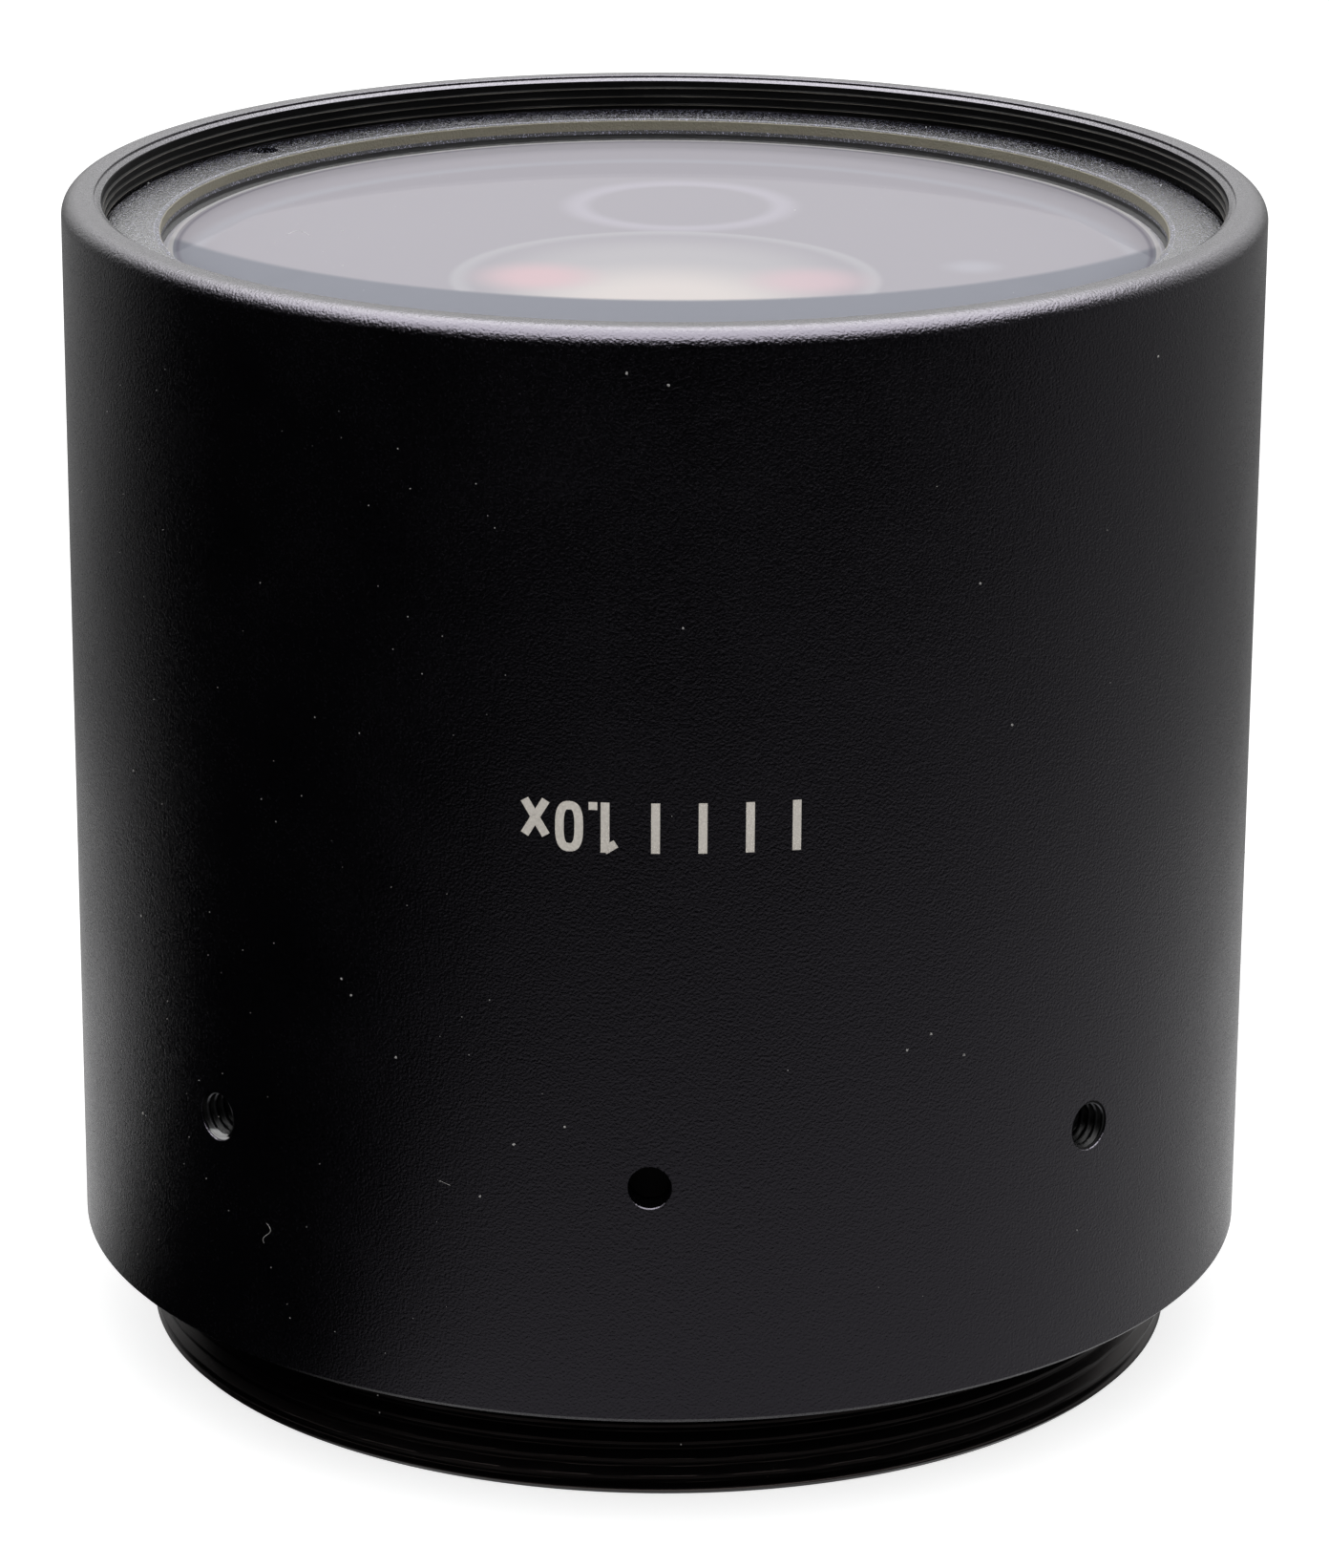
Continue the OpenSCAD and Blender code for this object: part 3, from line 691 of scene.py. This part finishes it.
def ribbon(path, wide, closed):
    """Pairs of points on the left and right edge of a stroke that follows path, in flat millimetres."""
    pairs = []
    for i, here in enumerate(path):
        before = path[i - 1] if (i or closed) else here
        after = path[(i + 1) % len(path)] if (i + 1 < len(path) or closed) else here
        along = Vector((after[0] - before[0], after[1] - before[1])).normalized()
        side = Vector((-along.y, along.x)) * wide / 2
        pairs.append(((here[0] + side.x, here[1] + side.y), (here[0] - side.x, here[1] - side.y)))
    return pairs

# %% [markdown]
# The strokes are written flat first, in millimetres from the middle of the print, with the number on
# the right. Each point is then laid on the tube: across becomes an angle and up becomes a height.

# %% Print
PRINT_Z, PRINT_TURN, PRINT_TALL, STROKE, PAINT_PROUD = 38.95, 0.9, 2.7, 0.45, 0.006
UP, DOWN = PRINT_TALL / 2, -PRINT_TALL / 2
BARS_AT = (-6.97, -4.55, -2.12, 0.3)
OPEN_STROKES = [
    *[[(x, DOWN), (x, UP)] for x in BARS_AT],
    [(2.88, DOWN), (2.88, UP)], [(2.92, UP - 0.12), (2.32, UP - 0.5)],
    [(3.5, DOWN), (3.5, DOWN + 0.42)],
    [(5.93, DOWN + 0.02), (7.05, 0.55)], [(5.93, 0.55), (7.05, DOWN + 0.02)],
]
ZERO = oval(4.73, 0.5, UP - 0.22)


def on_sleeve(turn_deg, z, proud):
    turn, r = math.radians(turn_deg), SLEEVE_R + proud
    return Vector((r * math.sin(turn) * MM, -r * math.cos(turn) * MM, z * MM))


def print_marks():
    points, faces = [], []
    for path, closed in [(densify(stroke), False) for stroke in OPEN_STROKES] + [(ZERO, True)]:
        first, pairs = len(points), ribbon(path, STROKE, closed)
        for across, along in (edge for pair in pairs for edge in pair):
            turn_deg = PRINT_TURN - math.degrees(across / SLEEVE_R)
            points.append(on_sleeve(turn_deg, PRINT_Z - along, PAINT_PROUD))
        for i in range(len(pairs) if closed else len(pairs) - 1):
            a, b = first + 2 * i, first + 2 * ((i + 1) % len(pairs))
            faces.append((a, a + 1, b + 1, b))
    mesh = bpy.data.meshes.new("index_print")
    mesh.from_pydata(points, [], faces)
    if sum(f.normal.x * f.center.x + f.normal.y * f.center.y for f in mesh.polygons) < 0:
        mesh.flip_normals()
    print("print strokes:", len(OPEN_STROKES) + 1, "faces:", len(faces))
    return add_piece("index_print", mesh)


marks = print_marks()
marks.data.materials.append(finish(
    "off_white_print", (0.5, 0.465, 0.42), (0.66, 0.62, 0.565), grain=0.12, rough=(0.5, 0.7), bump=0.003))
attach(marks, "root")

# %% [markdown]
# ## Dust
# No surface that was carried to a table is free of dust. Each speck is a tiny lump with an uneven
# outline that sits on the surface, and each fibre is a bent thread of it. A seat says where a speck
# sits: its place, the two directions along the surface and the direction out of it.

# %% Seats for dust
def seat_on_sleeve(turn_deg, z):
    turn = math.radians(turn_deg)
    across, out = Vector((math.cos(turn), math.sin(turn), 0)), Vector((math.sin(turn), -math.cos(turn), 0))
    up = Vector((0, 0, 1))
    return out * SLEEVE_R * MM + up * z * MM, across, up, out


def seat_on_mount(turn_deg, z):
    _, across, up, out = seat_on_sleeve(turn_deg, z)
    return out * mount_push(MOUNT_R, z, math.radians(turn_deg)) * MM + up * z * MM, across, up, out


def seat_on_top(x, y, z):
    return Vector((x, y, z)) * MM, Vector((1, 0, 0)), Vector((0, 1, 0)), Vector((0, 0, 1))

# %% [markdown]
# A lump is two uneven rings of points and a tip. Its lower ring lies under the surface, so that no gap
# shows. A fibre is a tiny roof of three edges that follows a row of seats.

# %% Lumps and fibres
def add_lump(points, faces, seat, size, dice, sides=7):
    place, across, up, out = seat
    first = len(points)
    for lift, spread in ((-0.15, 1.0), (0.45, 0.75)):
        for k in range(sides):
            turn = 2 * math.pi * k / sides
            reach = size * MM * spread * dice.uniform(0.6, 1.3)
            level = place + out * size * MM * lift
            points.append(level + across * reach * math.cos(turn) + up * reach * math.sin(turn))
    points.append(place + out * size * MM * 0.65)
    for k in range(sides):
        n = (k + 1) % sides
        faces.append((first + k, first + n, first + sides + n, first + sides + k))
        faces.append((first + sides + k, first + sides + n, first + 2 * sides))


def add_fibre(points, faces, seats, thick):
    first = len(points)
    for place, across, up, out in seats:
        foot, half = place - out * 0.003 * MM, across * thick * MM
        points += [foot - half, place + out * thick * MM, foot + half]
    for k in range(len(seats) - 1):
        a, b = first + 3 * k, first + 3 * k + 3
        faces += [(a, a + 1, b + 1, b), (a + 1, a + 2, b + 2, b + 1), (a + 2, a, b, b + 2)]


def lay_dust(name, seats, fibres, material):
    dice = random.Random(7)
    points, faces = [], []
    for seat, size in seats:
        add_lump(points, faces, seat, size, dice)
    for path, thick in fibres:
        add_fibre(points, faces, path, thick)
    mesh = bpy.data.meshes.new(name)
    mesh.from_pydata(points, [], faces)
    mesh.polygons.foreach_set("use_smooth", [True] * len(faces))
    mesh.materials.append(material)
    piece = add_piece(name, mesh)
    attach(piece, "root")
    print(f"{name}: {len(seats)} specks, {len(fibres)} fibres, {len(faces)} faces")

# %% [markdown]
# The larger specks are listed by angle and height on the sleeve and by place on the glass and
# the ring. Half of those on the sleeve lie within 0.3 mm of one that shows, the others are further off.
# A light sprinkle of smaller ones comes from a seeded random choice, so that every run gives the same
# dust. Two sprinkled specks out of three lie on the left side of the sleeve.

# %% Where the dust lies
DUST_ON_SLEEVE = [
    (2.7, 49.6), (30.3, 50.8), (51.7, 60.8), (23.8, 26.0), (26.2, 26.7), (29.7, 25.2), (-29.4, 29.1),
    (-28.4, 28.3), (-23.8, 25.3), (-58.2, 36.7), (-57.3, 28.6), (-57.9, 17.1), (34.1, 42.9), (-2.3, 62.8),
    (1.3, 62.2), (-12.4, 21.3), (-7.7, 22.5), (-15.6, 18.2)]
DUST_ON_MOUNT = [(-30.4, 3.9), (-30.2, 2.9), (36.6, 3.9), (44.6, 4.2), (3.3, 3.0)]
DUST_ON_GLASS = [(-17.9, 2.2), (-17.3, -6.2), (-21.4, -0.8), (7.2, 8.5)]
DUST_ON_RING = [(15.0, 26.1), (-29.3, 8.9), (-26.9, 12.6), (27.9, 10.6), (21.4, 19.6)]
dice = random.Random(21)


def sleeve_speck(k):
    turn_deg = dice.uniform(-75, -12) if k % 3 else dice.uniform(-12, 340)
    return seat_on_sleeve(turn_deg, dice.uniform(8, 60)), dice.uniform(0.02, 0.045)


def glass_speck():
    return seat_on_top(dice.uniform(-22, 22), dice.uniform(-14, 22), FRONT_Z), dice.uniform(0.012, 0.03)


def ring_speck():
    r, turn = dice.uniform(28.0, 30.4), dice.uniform(0, 6.28)
    return seat_on_top(r * math.sin(turn), r * math.cos(turn), RING_FACE_Z), dice.uniform(0.012, 0.03)


dust = finish(
    "grey_dust", (0.16, 0.155, 0.15), (0.42, 0.41, 0.4), grain=0.08, rough=(0.7, 0.9), bump=0.002)
pale_dust = finish(
    "pale_dust", (0.75, 0.75, 0.78), (0.95, 0.95, 0.97), grain=0.08, rough=(0.7, 0.9), bump=0.002)
bent = [seat_on_sleeve(-38.6 + 0.5 * math.sin(k / 2.2), 14.1 - 0.1 * k) for k in range(13)]
short = [seat_on_sleeve(-19.6 + 0.28 * k, 18.8 - 0.05 * k) for k in range(5)]
curl = [seat_on_top(-20.9 + 0.12 * k, 1.2 + 0.9 * math.sin(k / 3.2), FRONT_Z) for k in range(12)]
large = [(seat_on_sleeve(*place), 0.08) for place in DUST_ON_SLEEVE]
small = [sleeve_speck(k) for k in range(150)]
lay_dust("dust_on_sleeve", large + small, [(bent, 0.025), (short, 0.03)], dust)
large = [(seat_on_mount(*place), 0.05) for place in DUST_ON_MOUNT]
lay_dust("dust_on_mount", large, [], dust)
large = [(seat_on_top(*place, FRONT_Z), 0.07) for place in DUST_ON_GLASS]
small = [glass_speck() for k in range(40)]
lay_dust("dust_on_glass", large + small, [(curl, 0.02)], pale_dust)
large = [(seat_on_top(*place, RING_FACE_Z), 0.055) for place in DUST_ON_RING]
small = [ring_speck() for k in range(60)]
lay_dust("dust_on_ring", large + small, [], pale_dust)

# %% [markdown]
# ## Studio floor
# A black, glossy tube has almost no colour of its own: what the camera sees is the room. The floor is
# plain and pale for the camera. What the tube mirrors of it is set apart, with the Light Path node: a
# soft pool of light round the foot, a shade to the left, a paler floor behind and a bright wedge close
# behind the foot.

# %% What the tube mirrors of the floor
def ray_kinds(tree):
    path = tree.nodes.new("ShaderNodeLightPath")
    return path.outputs["Is Camera Ray"], path.outputs["Is Glossy Ray"], path.outputs["Is Transmission Ray"]


def mirrored_floor(tree):
    """Brightness of the floor in a reflection, brightest of pool, rear and wedge."""
    x, y, _ = split_xyz(tree, object_place(tree))
    away, _ = radius_of(tree)
    pool = remap(tree, distance_from(tree, 35, 0, 0), 0.04, 0.19, 0.56, 0.0, smooth=True)
    leftward = math_node(tree, "MULTIPLY_ADD", x, -0.97, math_node(tree, "MULTIPLY", y, -0.24))
    left_share = math_node(tree, "DIVIDE", leftward, math_node(tree, "MAXIMUM", away, 0.001))
    shade = remap(tree, left_share, 0.6, 0.88, 1.0, 0.0, smooth=True)
    rear = remap(tree, math_node(tree, "MULTIPLY_ADD", x, 0.5, y), -0.02, 0.08, 0.0, 0.3, smooth=True)
    behind = remap(tree, math_node(tree, "MULTIPLY_ADD", away, -0.6, y), -0.032, -0.015, 0.0, 0.72, smooth=True)
    wedge = math_node(tree, "MULTIPLY", behind, remap(tree, away, 0.04, 0.2, 1.0, 0.0, smooth=True))
    shaded_pool = math_node(tree, "MULTIPLY", pool, shade)
    return math_node(tree, "MAXIMUM", math_node(tree, "MAXIMUM", shaded_pool, rear), wedge)

# %% [markdown]
# The floor sheet itself has small tiles near the foot and large ones far out. Its finish is paper, with
# a little glow for the camera that lifts it to the pale ground of a product photo.

# %% Floor
FLOOR_LINES = (-2.0, -0.4, -0.1, 0.0, 0.1, 0.4, 2.0)
CAMERA_GLOW = 0.68


def floor_paper():
    material = finish(
        "pale_floor_paper", (0.78, 0.78, 0.78), (0.82, 0.82, 0.82),
        grain=0.5, rough=(0.85, 0.95), bump=0.003, Specular_IOR_Level=0.0)
    tree = material.node_tree
    camera_ray, gloss_ray, glass_ray = ray_kinds(tree)
    mirrored = math_node(tree, "MAXIMUM", gloss_ray, glass_ray)
    seen = math_node(tree, "MULTIPLY", camera_ray, CAMERA_GLOW)
    glow = tree.nodes.new("ShaderNodeEmission")
    tree.links.new(mix_numbers(tree, mirrored, seen, mirrored_floor(tree)), glow.inputs["Strength"])
    lit = tree.nodes.new("ShaderNodeAddShader")
    tree.links.new(tree.nodes["Principled BSDF"].outputs[0], lit.inputs[0])
    tree.links.new(glow.outputs[0], lit.inputs[1])
    pick = tree.nodes.new("ShaderNodeMixShader")
    for socket, output in zip(pick.inputs, (mirrored, lit.outputs[0], glow.outputs[0])):
        tree.links.new(output, socket)
    tree.links.new(pick.outputs[0], tree.nodes["Material Output"].inputs["Surface"])
    return material


wide = len(FLOOR_LINES)
corners = [(j * wide + i, j * wide + i + 1) for j in range(wide - 1) for i in range(wide - 1)]
mesh = bpy.data.meshes.new("studio_floor")
mesh.from_pydata(
    [(x, y, 0) for y in FLOOR_LINES for x in FLOOR_LINES], [], [(a, b, b + wide, a + wide) for a, b in corners])
mesh.materials.append(floor_paper())
add_piece("studio_floor", mesh)
print("floor tiles:", len(mesh.polygons))

# %% [markdown]
# ## The room
# The room is bright behind the lens and above it, and dark where the camera stands, which is how black
# things are photographed. Glossy rays see a strong soft panel overhead. Rays through glass see the
# same room with a weaker panel, all other light is even, and the camera sees plain white.

# %% World
PANEL, EVEN_LIGHT = 12.0, 0.8


def studio_world():
    world = bpy.data.worlds.new("studio")
    bpy.context.scene.world = world
    world.use_nodes = True
    tree = world.node_tree
    x, y, z = split_xyz(tree, tree.nodes.new("ShaderNodeTexCoord").outputs["Generated"])
    rear = remap(tree, math_node(tree, "MULTIPLY_ADD", x, 0.25, y), 0.3, 0.75, 0.02, 1.7, smooth=True)
    rear = math_node(tree, "MULTIPLY", rear, remap(tree, z, 0.03, 0.25, 0.35, 1.0, smooth=True))
    room = math_node(tree, "MAXIMUM", rear, remap(tree, x, 0.45, 0.95, 0.0, 0.2, smooth=True))
    panel = remap(tree, z, 0.54, 0.78, 0.0, PANEL, smooth=True)
    weak_panel = math_node(tree, "MINIMUM", panel, 1.0)
    camera_ray, gloss_ray, glass_ray = ray_kinds(tree)
    level = mix_numbers(tree, gloss_ray, EVEN_LIGHT, math_node(tree, "MAXIMUM", room, panel))
    level = mix_numbers(tree, glass_ray, level, math_node(tree, "MAXIMUM", room, weak_panel))
    level = mix_numbers(tree, camera_ray, level, 1.0)
    background = tree.nodes["Background"]
    background.inputs["Color"].default_value = (1, 1, 1, 1)
    tree.links.new(level, background.inputs["Strength"])
    print(f"{world.name}: {len(tree.nodes)} nodes, panel {PANEL}, even light {EVEN_LIGHT}")


studio_world()

# %% [markdown]
# ## Camera
# The picture was taken from about 35 cm away and 18 degrees above. A long lens keeps the tube's sides
# nearly parallel. The camera's place is written as turns and shifts, in the order in which they happen.

# %% Camera
PHOTO_WIDE, FOCAL, SENSOR = 1392, 6237.8, 36.0
camera_data = bpy.data.cameras.new("camera")
camera = bpy.data.objects.new("camera", camera_data)
bpy.context.scene.collection.objects.link(camera)
camera_data.sensor_fit, camera_data.sensor_width = "HORIZONTAL", SENSOR
camera_data.lens = SENSOR * FOCAL / PHOTO_WIDE
camera_data.clip_start = 0.01
camera.matrix_world = (
    Matrix.Rotation(math.radians(0.9), 4, "Z")
    @ Matrix.Translation((0, -0.32074, 0.13517))
    @ Matrix.Rotation(math.radians(90) - 0.3152, 4, "X")
    @ Matrix.Rotation(-0.00047, 4, "Y")
    @ Matrix.Rotation(0.0053, 4, "Z"))
bpy.context.scene.camera = camera
bpy.context.scene.view_settings.view_transform = "Standard"
print("lens", round(camera_data.lens, 2), "mm, camera at", [round(c, 4) for c in camera.matrix_world.translation])
